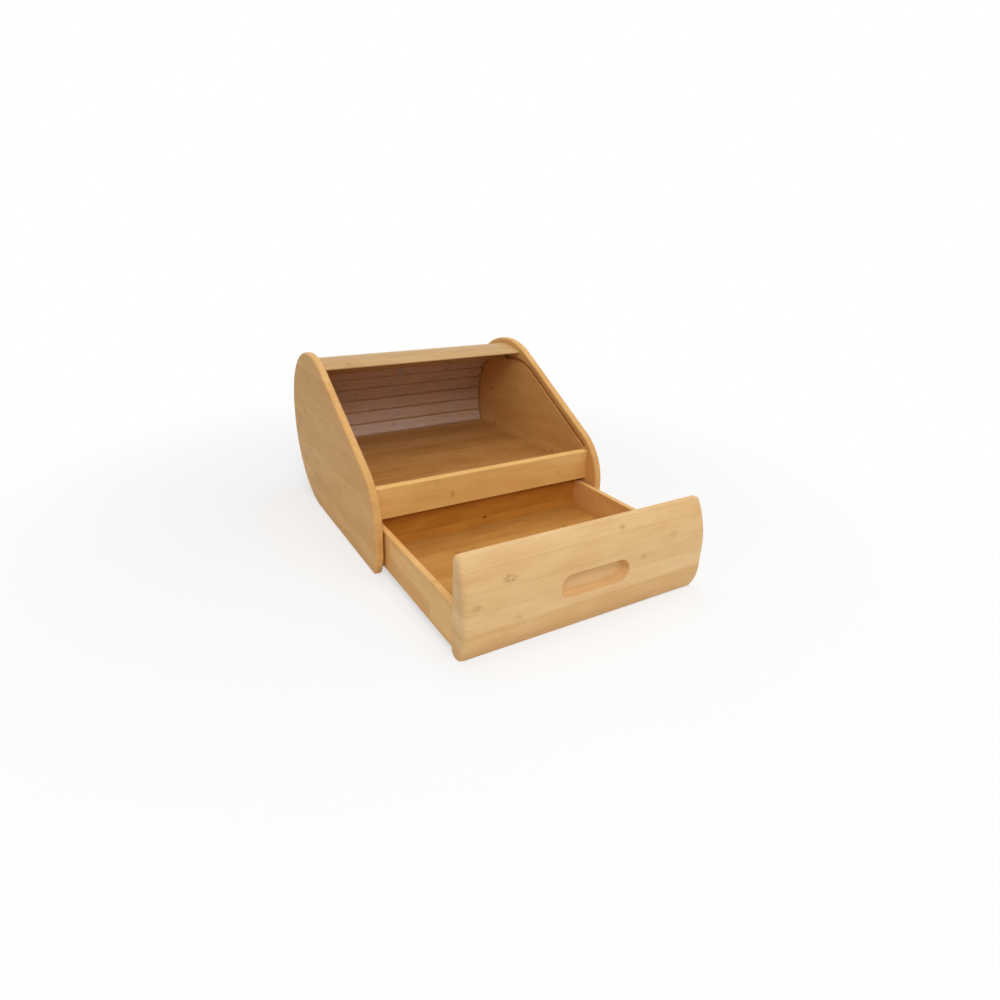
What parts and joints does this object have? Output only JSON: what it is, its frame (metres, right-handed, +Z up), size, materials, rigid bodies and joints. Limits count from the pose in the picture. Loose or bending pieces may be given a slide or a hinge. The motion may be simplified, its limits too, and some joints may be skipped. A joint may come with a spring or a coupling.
{
  "type": "bread box with drawer",
  "caption": "Wooden bread box with rounded side panels, a roll-top lid of clear slats on a sloped front, and a bowed drawer with a slot pull underneath.",
  "frame": {"origin": "middle of the case's footprint, on the base panel's underside, where the box stands on a table", "axes": "+Z up, +Y from the drawer front to the back, +X to the right when facing the drawer"},
  "size_m": [0.39, 0.613, 0.263],
  "materials": {
    "bamboo_side": "satin laminated bamboo",
    "bamboo_board": "satin laminated bamboo",
    "bamboo_trim": "satin laminated bamboo",
    "bamboo_skin": "satin bent bamboo ply",
    "bamboo_drawer_front": "satin laminated bamboo",
    "dowel_wood": "plain turned wood",
    "zinc_screw": "zinc plated",
    "clear_slat": "clear acrylic strip",
    "clear_strap": "clear flexible tape"
  },
  "bodies": {
    "case": {"left_side_panel": "bamboo_side", "right_side_panel": "bamboo_side", "top_rail": "bamboo_trim", "back_panel": "bamboo_skin", "front_ledge": "bamboo_trim", "shelf": "bamboo_board", "base_panel": "bamboo_board", "ledge_dowels": "dowel_wood", "shelf_dowels": "dowel_wood", "base_dowels": "dowel_wood"},
    "drawer": {"drawer_front": "bamboo_drawer_front", "drawer_inner_front": "bamboo_board", "drawer_left_side": "bamboo_board", "drawer_right_side": "bamboo_board", "drawer_back": "bamboo_board", "drawer_floor": "bamboo_board", "drawer_dowels": "dowel_wood", "drawer_screws": "zinc_screw"},
    "lid_handle": {"lid_handle_slat": "bamboo_trim", "lid_straps_handle": "clear_strap"},
    "lid_slat_1": {"lid_clear_slat_1": "clear_slat", "lid_straps_1": "clear_strap"},
    "lid_slat_2": {"lid_clear_slat_2": "clear_slat", "lid_straps_2": "clear_strap"},
    "lid_slat_3": {"lid_clear_slat_3": "clear_slat", "lid_straps_3": "clear_strap"},
    "lid_slat_4": {"lid_clear_slat_4": "clear_slat", "lid_straps_4": "clear_strap"},
    "lid_slat_5": {"lid_clear_slat_5": "clear_slat", "lid_straps_5": "clear_strap"},
    "lid_slat_6": {"lid_clear_slat_6": "clear_slat", "lid_straps_6": "clear_strap"},
    "lid_slat_7": {"lid_clear_slat_7": "clear_slat", "lid_straps_7": "clear_strap"},
    "lid_slat_8": {"lid_clear_slat_8": "clear_slat", "lid_straps_8": "clear_strap"},
    "lid_slat_9": {"lid_clear_slat_9": "clear_slat", "lid_straps_9": "clear_strap"}
  },
  "joints": [
    {"name": "drawer_slide", "type": "slide", "parent": "case", "child": "drawer", "axis": [0, 1, 0], "range_m": [0, 0.218]},
    {"name": "lid_roll", "type": "hinge", "parent": "case", "child": "lid_handle", "pos_m": [0, 0.14679, -0.25023], "axis": [1, 0, 0], "range_deg": [0, 31.68]},
    {"name": "lid_slat_1_roll", "type": "hinge", "parent": "case", "child": "lid_slat_1", "pos_m": [0, 0.08603, -0.08908], "axis": [1, 0, 0], "range_deg": [0, 48.54]},
    {"name": "lid_slat_2_roll", "type": "hinge", "parent": "case", "child": "lid_slat_2", "pos_m": [0, 0.06331, -0.01202], "axis": [1, 0, 0], "range_deg": [0, 64.05]},
    {"name": "lid_slat_3_roll", "type": "hinge", "parent": "case", "child": "lid_slat_3", "pos_m": [0, 0.05356, 0.03735], "axis": [1, 0, 0], "range_deg": [0, 79.55]},
    {"name": "lid_slat_4_roll", "type": "hinge", "parent": "case", "child": "lid_slat_4", "pos_m": [0, 0.0507, 0.07217], "axis": [1, 0, 0], "range_deg": [0, 95.05]},
    {"name": "lid_slat_5_roll", "type": "hinge", "parent": "case", "child": "lid_slat_5", "pos_m": [0, 0.05208, 0.09817], "axis": [1, 0, 0], "range_deg": [0, 110.56]},
    {"name": "lid_slat_6_roll", "type": "hinge", "parent": "case", "child": "lid_slat_6", "pos_m": [0, 0.05456, 0.11161], "axis": [1, 0, 0], "range_deg": [0, 120.51]},
    {"name": "lid_slat_7_roll", "type": "hinge", "parent": "case", "child": "lid_slat_7", "pos_m": [0, 0.05883, 0.12139], "axis": [1, 0, 0], "range_deg": [0, 129.52]},
    {"name": "lid_slat_8_roll", "type": "hinge", "parent": "case", "child": "lid_slat_8", "pos_m": [0, 0.05926, 0.12211], "axis": [1, 0, 0], "range_deg": [0, 130.27]},
    {"name": "lid_slat_9_roll", "type": "hinge", "parent": "case", "child": "lid_slat_9", "pos_m": [0, 0.05955, 0.1224], "axis": [1, 0, 0], "range_deg": [0, 130.65]}
  ],
  "couplings": [
    {"joint": "lid_slat_1_roll", "follows": "lid_roll", "ratio": 1.5319},
    {"joint": "lid_slat_2_roll", "follows": "lid_roll", "ratio": 2.0212},
    {"joint": "lid_slat_3_roll", "follows": "lid_roll", "ratio": 2.5106},
    {"joint": "lid_slat_4_roll", "follows": "lid_roll", "ratio": 2.9999},
    {"joint": "lid_slat_5_roll", "follows": "lid_roll", "ratio": 3.4893},
    {"joint": "lid_slat_6_roll", "follows": "lid_roll", "ratio": 3.8034},
    {"joint": "lid_slat_7_roll", "follows": "lid_roll", "ratio": 4.0877},
    {"joint": "lid_slat_8_roll", "follows": "lid_roll", "ratio": 4.1116},
    {"joint": "lid_slat_9_roll", "follows": "lid_roll", "ratio": 4.1235}
  ]
}
